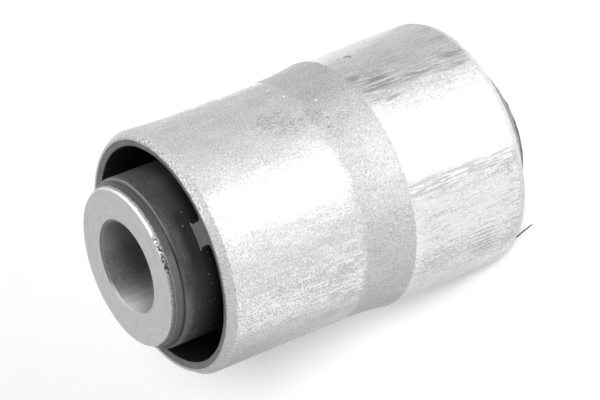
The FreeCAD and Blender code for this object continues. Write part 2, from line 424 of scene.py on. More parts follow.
front_hollow = FRONT_RADIUS - SLEEVE_WALL
rear_hollow = REAR_RADIUS - SLEEVE_WALL
before_flare = [
    (rear_hollow, REAR_RIM, 0.12),
    (REAR_RADIUS - REAR_LEAD[0], REAR_RIM, 0.1),
    (REAR_RADIUS, REAR_RIM + REAR_LEAD[1], 0.6),
    (REAR_RADIUS, crest_centre.y, 0),
]
after_flare = [
    (FRONT_RADIUS, FLARE_TOP, 0),
    (FRONT_RADIUS, FRONT_RIM - FRONT_LEAD[1], 0.25),
    (FRONT_RADIUS - FRONT_LEAD[0], FRONT_RIM, 0.1),
    (front_hollow, FRONT_RIM, 0.08),
    (front_hollow, FLARE_TOP, 0),
    (rear_hollow, CREST, 0),
]
curve = [(p.x, p.y, 0) for p in crest_arc[1:] + flare_arc[1:-1]]
sleeve_outline = divided(softened(before_flare + curve + after_flare))
REAR_EDGE = REAR_RIM + REAR_LEAD[1]
LEAD_EDGE = FRONT_RIM - FRONT_LEAD[1]

# %% [markdown]
# ## Steel of the outer sleeve
# The sleeve is drawn from mild steel tube and sized in a die. Its skin is a fine matt grain, and
# where the die and the press rubbed it, the tops of the grain are burnished bright. So the
# material mixes two finishes of one steel: a matt one that spreads the light, and a bright one on
# the tops. A tube never lies quite true in its die, so how much is burnished changes round the
# sleeve. That share is also a painted highlight: it is highest where the lamps' highlight and the
# bright grazing reflection fall, and lowest where the steel mirrors darker cards. Both seats are
# rubbed, and the flare between them is not.
#
# The first two lists say how much of each seat is burnished, and so where the highlight is
# painted. Two more take some of that away near the front rim and near the flare, where the die
# lets go of the tube.

# %% Burnished steel and painted highlight round the axis, as (angle, share)
FRONT_RUBBED_AND_HIGHLIGHT = ((-180, 0.5), (-166, 0.5), (-158, 0.42), (-150, 0.34), (-143, 0.5), (-132, 0.5),
                (-124, 0.34), (-111, 0.16), (-102, 0.34), (-92, 0.85), (-80, 0.85), (-70, 0.26),
                (-60, 0.0), (-50, 0.0), (-30, 0.0), (-19, 0.25), (-12, 0.7), (-6, 1.1),
                (20, 1.1), (55, 0.6), (90, 0.25), (130, 0.5), (180, 0.45))
REAR_RUBBED_AND_HIGHLIGHT = ((-180, 0.6), (-162, 0.6), (-150, 0.35), (-142, 0.4), (-134, 0.6), (-118, 0.6),
               (-110, 0.5), (-105, 0.7), (-99, 1.2), (-77, 1.2), (-71, 0.45), (-63, 0.18),
               (-56, 0.0), (-46, 0.0), (-36, 0.4), (-20, 0.8), (-8, 1.1), (30, 0.6),
               (70, 0.9), (110, 0.5), (150, 0.8), (180, 0.6))
RIM_FADED = ((-180, 0.0), (-114, 0.0), (-104, 0.0), (-92, 0.4), (-74, 0.4), (-66, 0.1),
             (-50, 0.0), (-30, 0.1), (-12, 0.9), (20, 0.9), (60, 0.0), (180, 0.0))
FLARE_FADED = ((-180, 0.0), (-112, 0.0), (-102, 0.4), (-70, 0.4), (-60, 0.0), (180, 0.0))

# %% [markdown]
# These four lists: stains of drawing oil on the rear seat, coarse wear by the rear rim, the
# painted light on one side of the front taper, and the side of the front rim where the cut has torn
# the steel into rings.

# %% Stains and wear round the axis, as (angle, share)
REAR_STAINED = ((-180, 0.0), (-152, 0.0), (-146, 0.1), (-138, 0.0), (-116, 0.1), (-112, 0.4),
                (-107, 0.7), (-104, 0.6), (-101, 0.15), (-66, 0.0), (-62, 0.25), (-57, 0.55),
                (-50, 0.55), (-42, 0.4), (-34, 0.15), (-26, 0.0), (180, 0.0))
REAR_PITTED = ((-180, 1.0), (-104, 1.0), (-97, 0.0), (-66, 0.0), (-56, 0.6), (180, 0.6))
# Painted light: how much lighter the front taper is on the side where the light falls.
LEAD_LIT_SIDE = ((-180, 0.1), (-140, 0.15), (-104, 0.0), (-80, 0.15), (-56, 0.4), (-24, 0.5),
             (0, 1.0), (90, 1.0), (180, 0.1))
RIM_TORN = ((-180, 0.2), (-120, 0.0), (-90, 0.0), (-82, 0.9), (-15, 0.9), (10, 0.35), (180, 0.2))

# %% [markdown]
# Handling leaves single marks: a few pits and nicks, dark streaks of dried oil, a row of nine
# short lines by the rear rim and a scuffed place by the flare. Three white specks are painted
# glints. They are set one by one, where the photograph shows them.

# %% Single marks, as (angle, height, width, length)
DARK_MARKS = ((-29.5, 21.8, 0.3, 0.7), (-30.6, 21.4, 0.5, 0.25), (-61, 32.6, 0.2, 0.3),
              (-66, 33.4, 0.2, 0.3), (-143, 54.9, 0.2, 0.4), (-119, 57.2, 0.2, 0.2))
STREAKS = ((-54.5, 22.8, 2.4, 4.2), (-57.5, 15, 0.8, 7.5), (-53.5, 8.2, 0.9, 3.2),
           (-64, 22.8, 0.7, 3.6), (-60, 10, 0.6, 4), (-48, 25, 1.2, 1.6))
RIM_LINES = tuple((-138 - 2.3 * number, 13.4 - 0.15 * number, 0.15, 3.6) for number in range(9))
SCUFFS = ((-53, 40.4, 3.0, 4.4), (-59, 38.6, 2.0, 4.4), (-58, 34.6, 2.2, 2.0))
PAINTED_GLINTS = ((-30, 36.4, 0.24, 0.24), (-40, 35.6, 0.24, 0.24), (-50, 32.2, 0.24, 0.24))

# %% [markdown]
# ### Patterns of drawn steel
# The true grain is about 0.15 mm. It is drawn at 0.22 to 0.27 mm, coarser than it is, so that a
# picture of this size can still show it. Scratches, lines and dragged oil run along the axis, as
# the tube went through the die. Worm-like marks are what a rubbed grain leaves, and the widest
# pattern is the patchy light of a tube that has been handled.

# %% Patterns of drawn steel, in millimetres
GRIT, FINE_GRIT = 0.27, 0.22
SCRATCH, SCRATCH_LENGTH = 0.3, 2.4
LINE, LINE_LENGTH = 0.3, 6.0
WORM, WORM_LENGTH = 0.28, 0.5
DRAG, DRAG_LENGTH = 0.24, 3.2
PATCH, PATCH_LENGTH = 2.2, 6.0
DASHES_BY_FLARE, DASHES_BY_RIM = 0.62, 0.15


def drawn_patterns(tree, place, z):
    """The patterns by name. The dots of the front seat turn into dashes towards the flare."""
    grit = grain(tree, place, GRIT)
    scratch = grain(tree, place, SCRATCH, SCRATCH_LENGTH, wavy=0.3)
    dashes = add(tree, "MapRange", {"Value": z, "From Min": FLARE_TOP, "From Max": LEAD_EDGE,
                                    "To Min": DASHES_BY_FLARE, "To Max": DASHES_BY_RIM})
    return SimpleNamespace(
        grit=grit,
        fine=grain(tree, place, FINE_GRIT, detail=0.0),
        scratch=scratch,
        dots=add(tree, "Mix", {FACTOR: dashes, FIRST: grit, SECOND: scratch}),
        line=grain(tree, place, LINE, LINE_LENGTH, detail=2.0),
        worm=grain(tree, place, WORM, WORM_LENGTH, wavy=0.6),
        drag=grain(tree, place, DRAG, DRAG_LENGTH, detail=2.0, wavy=0.3),
        patch=grain(tree, place, PATCH, PATCH_LENGTH, detail=2.0),
    )


# %% [markdown]
# ### Burnished tops and painted highlight
# The seats end a little unevenly, because the rubbing does. On the front seat the bright tops are
# dots and short dashes. The rear seat was drawn further and has long soft lines, which lie
# closest by the crest.

# %% The two seats
FRONT_SEAT, REAR_SEAT = (FLARE_TOP + 0.6, FAR, 0.25), (REAR_EDGE, CREST, 0.15)
FRAYED_BY_SCRATCH, FRAYED_BY_PATCH, RAGGED_BY_SCRATCH = -3.5, -3.0, 0.7


def seats(tree, z, pattern):
    """1 on the front seat, and 1 on the rear seat."""
    frayed = stirred(tree, z, pattern.scratch, FRAYED_BY_SCRATCH)
    frayed = stirred(tree, frayed, pattern.patch, FRAYED_BY_PATCH)
    ragged = stirred(tree, z, pattern.scratch, RAGGED_BY_SCRATCH)
    on_front = add(tree, "Math", {0: zone(tree, frayed, *FRONT_SEAT),
                                  1: zone(tree, ragged, 0, LEAD_EDGE)}, operation="MULTIPLY")
    return on_front, zone(tree, ragged, *REAR_SEAT)


# %% Burnished tops and painted highlight
FRONT_UNEVEN, REAR_UNEVEN = 0.55, 0.5
FADES_BY_RIM, FADES_BY_FLARE = (LEAD_EDGE - 1.5, FAR, 2.5), (0, FLARE_TOP + 1.6, 2.0)
BRIGHT_BY_CREST, MORE_BY_CREST = (CREST - 1.2, FAR, 0.8), 0.2
DOTS_SOFT, LINES_SOFT, LINES_IN_WORM = 0.055, 0.16, 0.35


def burnished_tops_and_highlight(tree, angle, z, pattern, on_front, on_rear):
    """1 on the tops that were rubbed bright, set thickest where the highlight is painted."""
    share = stirred(tree, round_axis(tree, angle, FRONT_RUBBED_AND_HIGHLIGHT), pattern.patch, FRONT_UNEVEN)
    for limits, stops in ((FADES_BY_RIM, RIM_FADED), (FADES_BY_FLARE, FLARE_FADED)):
        faded = only_at(tree, zone(tree, z, *limits), angle, stops)
        share = add(tree, "Math", {0: share, 1: faded}, operation="SUBTRACT")
    front_tops = add(tree, "Math", {0: above(tree, pattern.dots, share, DOTS_SOFT), 1: on_front},
                     operation="MULTIPLY")

    lines = add(tree, "Mix", {FACTOR: LINES_IN_WORM, FIRST: pattern.worm, SECOND: pattern.line})
    share = stirred(tree, round_axis(tree, angle, REAR_RUBBED_AND_HIGHLIGHT), pattern.patch, REAR_UNEVEN)
    by_crest = zone(tree, z, *BRIGHT_BY_CREST)
    share = add(tree, "Math", {0: by_crest, 1: MORE_BY_CREST, 2: share}, operation="MULTIPLY_ADD")
    rear_tops = add(tree, "Math", {0: above(tree, lines, share, LINES_SOFT), 1: on_rear},
                    operation="MULTIPLY")
    return add(tree, "Math", {0: front_tops, 1: rear_tops}, operation="ADD")


# %% [markdown]
# ### Matt steel and its wear
# Below the tops lies matt steel: darker on the flare, which nothing rubbed, and paler on both
# tapers; on one side of the front taper that paleness is painted light. Then the wear goes over it,
# one layer after the other, from wide stains to single pits. A stain or streak is broken up by the
# pattern of dragged oil, or it would look like paint.

# %% Matt steel
PATCH_CONTRAST, SPECK_CONTRAST = 0.14, 0.38


def matt_steel(tree, angle, z, pattern, on_seat, on_lead):
    """The tone of the steel where it isn't burnished."""
    matt = add(tree, "Mix", {FACTOR: on_seat, FIRST: grey("#C0C0C0"), SECOND: grey("#CACACA")})
    matt = stirred(tree, matt, pattern.patch, PATCH_CONTRAST)
    # Painted light: the front taper is lighter on the side where the light falls.
    lead = add(tree, "Mix", {FACTOR: round_axis(tree, angle, LEAD_LIT_SIDE),
                             FIRST: grey("#BEBEBE"), SECOND: grey("#D8D8D8")})
    matt = add(tree, "Mix", {FACTOR: on_lead, FIRST: matt, SECOND: lead})
    matt = add(tree, "Mix", {FACTOR: zone(tree, z, 0, REAR_EDGE), FIRST: matt, SECOND: grey("#D4D4D4")})
    return stirred(tree, matt, pattern.fine, SPECK_CONTRAST)


# %% Stains, streaks and scuffs
OIL_SHARE, STAIN_SOFT, STREAK_SOFT, STREAK_DEPTH = 0.55, 0.12, 0.08, 0.6
RIM_PITTED, PITTING_SHARE, PITTING_SOFT, PITTING_DEPTH = (REAR_EDGE, 9.0, 0.8), 0.35, 0.04, 0.45
SCUFF_SHARE, SCUFF_SOFT, SCUFF_DEPTH = 0.42, 0.08, 0.6


def stained(tree, tone, angle, z, pattern, on_rear):
    """The tone with the oil of the rear seat over it."""
    stain = add(tree, "Math", {0: only_at(tree, on_rear, angle, REAR_STAINED),
                               1: above(tree, pattern.drag, OIL_SHARE, STAIN_SOFT)}, operation="MULTIPLY")
    tone = add(tree, "Mix", {FACTOR: stain, FIRST: tone, SECOND: grey("#A0A0A0")})
    streaks = add(tree, "Math", {0: marks(tree, angle, z, STREAKS),
                                 1: above(tree, pattern.drag, OIL_SHARE, STREAK_SOFT)}, operation="MULTIPLY")
    streaks = add(tree, "Math", {0: streaks, 1: marks(tree, angle, z, RIM_LINES)}, operation="MAXIMUM")
    streaks = add(tree, "Math", {0: streaks, 1: STREAK_DEPTH}, operation="MULTIPLY")
    return add(tree, "Mix", {FACTOR: streaks, FIRST: tone, SECOND: grey("#828282")})


def scuffed(tree, tone, angle, z, pattern):
    """The tone with the coarse wear by the rear rim and the scuffed place by the flare."""
    coarse = above(tree, pattern.dots, PITTING_SHARE, PITTING_SOFT)
    coarse = add(tree, "Math", {0: zone(tree, z, *RIM_PITTED), 1: coarse}, operation="MULTIPLY")
    coarse = only_at(tree, coarse, angle, REAR_PITTED)
    coarse = add(tree, "Math", {0: coarse, 1: PITTING_DEPTH}, operation="MULTIPLY")
    tone = add(tree, "Mix", {FACTOR: coarse, FIRST: tone, SECOND: grey("#909090")})
    broken = above(tree, pattern.worm, SCUFF_SHARE, SCUFF_SOFT)
    broken = add(tree, "Math", {0: broken, 1: SCUFF_DEPTH}, operation="MULTIPLY")
    scuffs = add(tree, "Math", {0: marks(tree, angle, z, SCUFFS), 1: broken}, operation="MULTIPLY")
    return add(tree, "Mix", {FACTOR: scuffs, FIRST: tone, SECOND: grey("#9A9A9A")})


# %% [markdown]
# The tool that cut the tube off has torn the steel of the front rim into fine rings. They run
# round the axis, so their noise goes by the radius and hardly by the angle.

# %% Torn rings of the front rim
RIM_RING, RING_REACH = 0.12, 14
RING_LOW, RING_HIGH = 0.35, 0.65
TORN_TO, TORN_UNEVEN = FRONT_RADIUS - 0.45, 0.5


def torn_rim(tree, tone, angle, radius, pattern, on_lead):
    """The tone with the torn rings of the front rim over it."""
    ring = ring_grain(tree, angle, radius, RIM_RING, RING_REACH, detail=2.0)
    ring = add(tree, "MapRange", {"Value": ring, "From Min": RING_LOW, "From Max": RING_HIGH,
                                  "To Min": grey("#A0A0A0"), "To Max": grey("#EAEAEA")})
    torn = zone(tree, stirred(tree, radius, pattern.patch, TORN_UNEVEN), 0, TORN_TO)
    torn = add(tree, "Math", {0: torn, 1: on_lead}, operation="MULTIPLY")
    torn = only_at(tree, torn, angle, RIM_TORN)
    return add(tree, "Mix", {FACTOR: torn, FIRST: tone, SECOND: ring})


# %% [markdown]
# ### Drawn steel
# Now the layers come together. A burnished top is smooth and gives a sharp reflection, the matt
# steel a wide one, and the tapers are the roughest. All of it is bare metal, so it is metallic
# throughout and keeps the default IOR.

# %% Drawn steel with burnished tops
BRIGHT_ROUGH, MATT_ROUGH, LEAD_ROUGH = 0.32, 0.66, 0.8
SCRATCH_IN_RELIEF, RELIEF_STRENGTH, RELIEF_DEPTH = 0.3, 0.5, 0.05


def drawn_steel():
    material, tree = new_nodes("drawn_steel")
    place, angle, radius, z = turned_place(tree)
    pattern = drawn_patterns(tree, place, z)
    on_front, on_rear = seats(tree, z, pattern)
    on_seat = add(tree, "Math", {0: on_front, 1: on_rear}, operation="ADD")
    on_lead = zone(tree, z, LEAD_EDGE, FAR)
    bright = burnished_tops_and_highlight(tree, angle, z, pattern, on_front, on_rear)
    matt = matt_steel(tree, angle, z, pattern, on_seat, on_lead)
    # Burnished tops are paler steel. Where they are set thickest, they also paint the highlight.
    tone = add(tree, "Mix", {FACTOR: bright, FIRST: matt, SECOND: grey("#F2F2F2")})
    tone = stained(tree, tone, angle, z, pattern, on_rear)
    tone = scuffed(tree, tone, angle, z, pattern)
    pits = marks(tree, angle, z, DARK_MARKS)
    tone = add(tree, "Mix", {FACTOR: pits, FIRST: tone, SECOND: grey("#8C8C8C")})
    # Painted glints: three specks of pure white steel.
    tone = add(tree, "Mix", {FACTOR: marks(tree, angle, z, PAINTED_GLINTS), FIRST: tone, SECOND: 1.0})
    tone = torn_rim(tree, tone, angle, radius, pattern, on_lead)

    relief = add(tree, "Mix", {FACTOR: SCRATCH_IN_RELIEF, FIRST: pattern.grit, SECOND: pattern.scratch})
    relief = add(tree, "Math", {0: relief, 1: pits}, operation="SUBTRACT")
    relief = add(tree, "Bump", {"Height": relief, "Strength": RELIEF_STRENGTH, "Distance": RELIEF_DEPTH * MM})
    rough = add(tree, "Mix", {FACTOR: on_lead, FIRST: MATT_ROUGH, SECOND: LEAD_ROUGH})
    rough = add(tree, "Mix", {FACTOR: bright, FIRST: rough, SECOND: BRIGHT_ROUGH})
    finish(tree, {"Base Color": tone, "Metallic": 1.0, "Roughness": rough, "Normal": relief})
    return material


outer_steel = drawn_steel()
print("drawn_steel:", len(outer_steel.node_tree.nodes), "nodes")

# %% [markdown]
# The rims are where a tube shows its age. The inner edge of the front rim is a little ragged, and
# the rear rim has one knock that can be seen in its outline. Both move the mesh itself, because
# an outline can't be painted.

# %% Wear of the rims, in millimetres
RAGGED, RAGGED_SIZE, RAGGED_WIDTH, RAGGED_FADE = 0.07, 0.9, 0.35, 0.2
OTHER_NOISE = Vector((0, 0, 9))
KNOCK_ANGLE, KNOCK_WIDTH, KNOCK_DEPTH = math.radians(-51.6), math.radians(1.8), 0.14
KNOCK_HEIGHT, KNOCK_WALL = 0.6, 0.3


def worn_rims(r, angle, z):
    """Moves a point of the sleeve's outline in or back where a rim is ragged or knocked."""
    along = Vector((math.cos(angle), math.sin(angle), 0)) * FRONT_RADIUS / RAGGED_SIZE
    if z > FRONT_RIM - RAGGED_WIDTH and r < front_hollow + RAGGED_WIDTH:
        share = min(1.0, (z - FRONT_RIM + RAGGED_WIDTH) / RAGGED_FADE)
        r += RAGGED * share * noise.noise(along)
        z -= RAGGED * share * abs(noise.noise(along + OTHER_NOISE))
    if z < REAR_RIM + KNOCK_HEIGHT and r > rear_hollow + KNOCK_WALL:
        off = (angle - KNOCK_ANGLE + math.pi) % (2 * math.pi) - math.pi
        depth = KNOCK_DEPTH * math.exp(-(off / KNOCK_WIDTH) ** 2)
        r, z = r - depth, z + depth
    return r, z


# %% Outer sleeve
outer_sleeve = turn("outer_sleeve_tube", sleeve_outline, SLEEVE_SEGMENTS, outer_steel, worn_rims)
stand_in(outer_sleeve, "outer_sleeve")

# %% [markdown]
# ## Steel of the inner sleeve
# The inner sleeve is cut from thick steel tube and faced on a lathe. The face is matt and even,
# with faint rings from the tool. Where the tool ran over the outer chamfer it has left a burr,
# painted bright as a highlight on the side where the light catches it, and on one side it has torn
# dark pits out of it. The outside carries a grey film of primer, which the rubber bonds to, and on
# the lower side that film still covers the chamfer too. The bore is dull from the drawing of the
# tube. It is painted darker on one side as shade and paler on the other as light falling in, and
# its chamfer carries painted shade too.

# %% Finish, painted highlight and painted shade of the inner sleeve round the axis, as (angle, share)
BURR_HIGHLIGHT = ((-180, 0.1), (-125, 0.2), (-98, 0.3), (-82, 0.6), (-74, 1.0), (-40, 1.0),
               (-22, 0.7), (0, 0.4), (180, 0.3))
CHAMFER_FILMED = ((-180, 1.0), (-98, 1.0), (-90, 0.0), (160, 0.0), (180, 1.0))
BORE_SHADE = ((-180, 0.45), (-120, 0.7), (-60, 0.8), (45, 0.85), (70, 1.0), (95, 1.0),
             (107, 0.9), (115, 0.75), (126, 0.45), (138, 0.2), (150, 0.2), (180, 0.45))
MOUTH_SHADE = ((-180, 0.0), (-60, 0.3), (-10, 0.9), (90, 0.9), (106, 0.3), (112, 0.0), (180, 0.0))

# %% [markdown]
# A turned face has a tool ring every 0.1 mm or so. They are drawn at 0.16 mm, so that they still
# show. A primer is a paint, so where it lies the metallic share goes down to nothing. The bore is
# metal under a thin tarnish, so it is partly metallic. A zone is written as its lowest and highest
# place and the softness of its edge, all in millimetres.

# %% The machined steel and its burr
FACE_GRIT, FACE_PATCH, TOOL_RING, TOOL_REACH = 0.3, 1.6, 0.16, 150
RING_CONTRAST = 0.14
BURR = (face_radius + 0.03, face_radius + 0.3, 0.07)
LIT_EDGE = (INNER_RADIUS - 0.1, INNER_RADIUS - 0.02, 0.04)


def faced_steel(tree, angle, radius, grit, place, torn, tear, torn_radius):
    """The tone of the face, the torn chamfer round it and the burr between them, with painted highlight."""
    patch = grain(tree, place, FACE_PATCH, detail=2.0)
    face = add(tree, "Mix", {FACTOR: patch, FIRST: grey("#C4C4C4"), SECOND: grey("#D4D4D4")})
    ring = ring_grain(tree, angle, radius, TOOL_RING, TOOL_REACH, detail=0.0)
    face = stirred(tree, face, ring, RING_CONTRAST)
    bare = add(tree, "Mix", {FACTOR: tear, FIRST: grey("#8A8A8A"), SECOND: grey("#C0C0C0")})
    thin_film = add(tree, "Mix", {FACTOR: grit, FIRST: grey("#606060"), SECOND: grey("#767676")})
    lit_edge = zone(tree, radius, *LIT_EDGE)
    thin_film = add(tree, "Mix", {FACTOR: lit_edge, FIRST: thin_film, SECOND: grey("#808080")})
    covered = round_axis(tree, angle, CHAMFER_FILMED)
    chamfer = add(tree, "Mix", {FACTOR: covered, FIRST: bare, SECOND: thin_film})
    face = add(tree, "Mix", {FACTOR: torn, FIRST: face, SECOND: chamfer})
    # Painted highlight: the burr is bright only on the side where the light catches it.
    lit_burr = only_at(tree, zone(tree, torn_radius, *BURR), angle, BURR_HIGHLIGHT)
    return add(tree, "Mix", {FACTOR: lit_burr, FIRST: face, SECOND: grey("#FAFAFA")})


# %% The pits, the bore and the film of primer
PIT, PIT_SHARE, PIT_SOFT = 0.42, 0.4, 0.06
PITTED_SIDE = (-106, -80, 4)
BORE_CONTRAST = 0.2
REAR_END = (-9, REAR_TIP, 0.2)


def torn_pits(tree, angle, place, torn):
    """1 in the pits that the tool tore out of the chamfer."""
    pitted = above(tree, grain(tree, place, PIT, detail=0.0), PIT_SHARE, PIT_SOFT)
    pitted = add(tree, "Math", {0: pitted, 1: zone(tree, angle, *PITTED_SIDE)}, operation="MULTIPLY")
    return add(tree, "Math", {0: pitted, 1: torn}, operation="MULTIPLY")


def shaded_bore(tree, angle, grit):
    """The tone of the drawn bore, with painted shade on one side and painted light on the other."""
    # Painted shade and light: the bore's tone goes by the angle.
    bore = add(tree, "Mix", {FACTOR: round_axis(tree, angle, BORE_SHADE), FIRST: 1.0, SECOND: grey("#7E7E7E")})
    return stirred(tree, bore, grit, BORE_CONTRAST)


def primer_film(tree, angle, z, grit):
    """The tone of the primer: paler on the lower side, and palest at the rear end."""
    film = add(tree, "Mix", {FACTOR: grit, FIRST: grey("#303030"), SECOND: grey("#484848")})
    low_film = add(tree, "Mix", {FACTOR: grit, FIRST: grey("#444444"), SECOND: grey("#5E5E5E")})
    low_side = round_axis(tree, angle, CHAMFER_FILMED)
    film = add(tree, "Mix", {FACTOR: low_side, FIRST: film, SECOND: low_film})
    return add(tree, "Mix", {FACTOR: zone(tree, z, *REAR_END), FIRST: film, SECOND: grey("#909090")})


# %% Turned steel with a primer film outside
TEAR, TEAR_DEPTH = 0.5, 0.25
FILMED = (INNER_RADIUS - 0.03, FAR, 0.05)
TORN = (face_radius + 0.12, INNER_RADIUS - 0.03, 0.06)
INSIDE = (0, BORE_RADIUS + 0.05, 0.03)
MOUTH = (BORE_RADIUS + 0.05, mouth_radius, 0.03)
TARNISH = 0.6
SMOOTH_ROUGH, TORN_ROUGH = 0.5, 0.8
FACE_RELIEF, FACE_RELIEF_DEPTH = 0.4, 0.03


def turned_steel():
    material, tree = new_nodes("turned_steel")
    place, angle, radius, z = turned_place(tree)
    grit = grain(tree, place, FACE_GRIT)
    tear = grain(tree, place, TEAR, detail=2.0)
    torn_radius = add(tree, "Math", {0: tear, 1: TEAR_DEPTH, 2: radius}, operation="MULTIPLY_ADD")
    filmed, torn = zone(tree, torn_radius, *FILMED), zone(tree, torn_radius, *TORN)
    inside, mouth = zone(tree, radius, *INSIDE), zone(tree, radius, *MOUTH)

    tone = faced_steel(tree, angle, radius, grit, place, torn, tear, torn_radius)
    tone = add(tree, "Mix", {FACTOR: inside, FIRST: tone, SECOND: shaded_bore(tree, angle, grit)})
    # Painted shade: the bore's chamfer is darker on the side that the light doesn't reach.
    shaded = only_at(tree, mouth, angle, MOUTH_SHADE)
    tone = add(tree, "Mix", {FACTOR: shaded, FIRST: tone, SECOND: grey("#707070")})
    tone = add(tree, "Mix", {FACTOR: filmed, FIRST: tone, SECOND: primer_film(tree, angle, z, grit)})
    pitted = torn_pits(tree, angle, place, torn)
    tone = add(tree, "Mix", {FACTOR: pitted, FIRST: tone, SECOND: grey("#4A4A4A")})

    relief = add(tree, "Bump", {"Height": grit, "Strength": FACE_RELIEF, "Distance": FACE_RELIEF_DEPTH * MM})
    metal = add(tree, "Math", {0: 1.0, 1: filmed}, operation="SUBTRACT")
    metal = add(tree, "Math", {0: inside, 1: -TARNISH, 2: metal}, operation="MULTIPLY_ADD")
    wide = add(tree, "Math", {0: inside, 1: torn}, operation="MAXIMUM")
    rough = add(tree, "Mix", {FACTOR: wide, FIRST: SMOOTH_ROUGH, SECOND: TORN_ROUGH})
    finish(tree, {"Base Color": tone, "Metallic": metal, "Roughness": rough, "Normal": relief})
    return material


inner_steel = turned_steel()
print("turned_steel:", len(inner_steel.node_tree.nodes), "nodes")

# %% [markdown]
# ## Inner sleeve
# A plain tube, so its outline is the four edges of its wall with a chamfer at each corner.

# %% Outline of the inner sleeve
INNER_SEGMENTS = 320
inner_corners = [
    (mouth_radius, 0.0, 0.05),
    (face_radius, 0.0, 0.08),
    (INNER_RADIUS, END_CHAMFER[1], 0.1),
    (INNER_RADIUS, INNER_LENGTH - END_CHAMFER[1], 0.1),
    (face_radius, INNER_LENGTH, 0.08),
    (mouth_radius, INNER_LENGTH, 0.05),
    (BORE_RADIUS, INNER_LENGTH - BORE_CHAMFER[1], 0.05),
    (BORE_RADIUS, BORE_CHAMFER[1], 0.05),
]
inner_sleeve = turn("inner_sleeve_tube", divided(softened(inner_corners)), INNER_SEGMENTS, inner_steel)
stand_in(inner_sleeve, "inner_sleeve")

# %% [markdown]
# ## Rubber
# Natural rubber filled with carbon black, moulded against steel: nearly black, with a soft grey
# sheen where the light grazes it. It isn't metal, so only its tone and roughness change. The flat
# ends are paler, and the lip has a painted highlight on one side. The skin over the inner sleeve is
# wiped round its axis. Light and shade are painted on it: lighter near its tip on one side and on
# its upper side, darker down in the recess, and in deep shade behind the web. A fine witness line
# runs round it, and specks of pale dust stick to all of the rubber.

# %% Finish, painted light and painted shade of the rubber round the axis, as (angle, share)
SKIN_LIT_SIDE = ((-180, 0.0), (-72, 0.0), (-58, 0.4), (-42, 1.0), (10, 1.0), (40, 0.0), (180, 0.0))
SKIN_LIT_NEAR_TIP = ((-180, 0.5), (-132, 0.5), (-116, 0.2), (-108, 0.0), (100, 0.0), (180, 0.5))
WEB_SHADED = ((-180, 0.0), (-134, 0.0), (-118, 0.5), (-106, 0.9), (-98, 1.0), (-76, 1.0),
              (-64, 0.2), (-56, 0.0), (180, 0.0))
LIP_HIGHLIGHT = ((-180, 0.0), (-100, 0.0), (-70, 0.5), (-40, 0.9), (10, 1.0), (60, 0.3), (180, 0.0))

# %% The wiped surface of the rubber
RUBBER_GRIT, SMEAR, SMEAR_LENGTH = 0.4, 2.0, 1.2
WIPED, WIPED_REACH = 0.35, 25
SMEARS_IN_TONE, TONE_LOW, TONE_HIGH = 0.7, 0.38, 0.62


def wiped_rubber(tree, angle, radius, z, grit, smear):
    """The tone of rubber that was wiped round its axis and smeared by handling."""
    around = add(tree, "Math", {0: angle, 1: WIPED_REACH}, operation="DIVIDE")
    wiped = add(tree, "CombineXYZ", {"X": around, "Y": radius, "Z": z})
    wiped = grain(tree, wiped, 1.0, WIPED, detail=3.0, wavy=0.4)
    tone = add(tree, "Mix", {FACTOR: 0.5, FIRST: smear, SECOND: wiped})
    tone = add(tree, "Mix", {FACTOR: SMEARS_IN_TONE, FIRST: grit, SECOND: tone})
    return add(tree, "MapRange", {"Value": tone, "From Min": TONE_LOW, "From Max": TONE_HIGH,
                                  "To Min": grey("#161616"), "To Max": grey("#464646")})


# %% The skin over the inner sleeve
ON_SKIN = (0, SKIN_RADIUS + 0.3, 0.2)
LIT_FROM, LIT_SOFT = FRONT_TIP - 0.9, 0.8
RECESS_SHADE = (REAR_TIP + 2.2, FRONT_TIP - 2.2, 1.8)
SHADED = (0, FRONT_TIP - 1.8, 1.0)


def skin_tone(tree, tone, angle, z, on_skin):
    """The tone with painted light by the tip and painted shade in the recess; also the web's shade."""
    # Painted light: the skin is lighter near its tip on one side.
    pale = only_at(tree, zone(tree, z, LIT_FROM, FAR, LIT_SOFT), angle, SKIN_LIT_NEAR_TIP)
    tone = add(tree, "Mix", {FACTOR: pale, FIRST: tone, SECOND: grey("#6E6E6E")})
    # Painted shade down in the recess, lighter on the upper side as painted light.
    lit_side = only_at(tree, on_skin, angle, SKIN_LIT_SIDE)
    recess_shade_tone = add(tree, "Mix", {FACTOR: lit_side, FIRST: grey("#202020"), SECOND: grey("#484848")})
    tone = add(tree, "Mix", {FACTOR: zone(tree, z, *RECESS_SHADE), FIRST: tone, SECOND: recess_shade_tone})
    shade = only_at(tree, zone(tree, z, *SHADED), angle, WEB_SHADED)
    shade = add(tree, "Math", {0: on_skin, 1: shade}, operation="MULTIPLY")
    return add(tree, "Mix", {FACTOR: shade, FIRST: tone, SECOND: grey("#0A0A0A")}), shade


# %% [markdown]
# Real dust is finer than a pixel of this picture. Its specks are drawn at 0.16 mm, one in every
# cell of 1.15 mm, as coarse as they need to be to show.

# %% Pale places and dust
PAST_SKIN = (SKIN_RADIUS + 0.1, FAR, 0.05)
FRONT_END = (FRONT_RIM - LINING_SET_BACK - 0.15, FRONT_RIM, 0.05)
REAR_END_FACE = (REAR_RIM, REAR_RIM + LINING_SET_BACK + 0.15, 0.05)
LIP = (FRONT_TIP - 0.12, FAR, 0.05)
WITNESS, WITNESS_DEPTH = (FRONT_RIM + 0.07, FRONT_RIM + 0.13, 0.06), 0.05
DUST_CELL, DUST = 1.15, (-1, 0.07, 0.02)


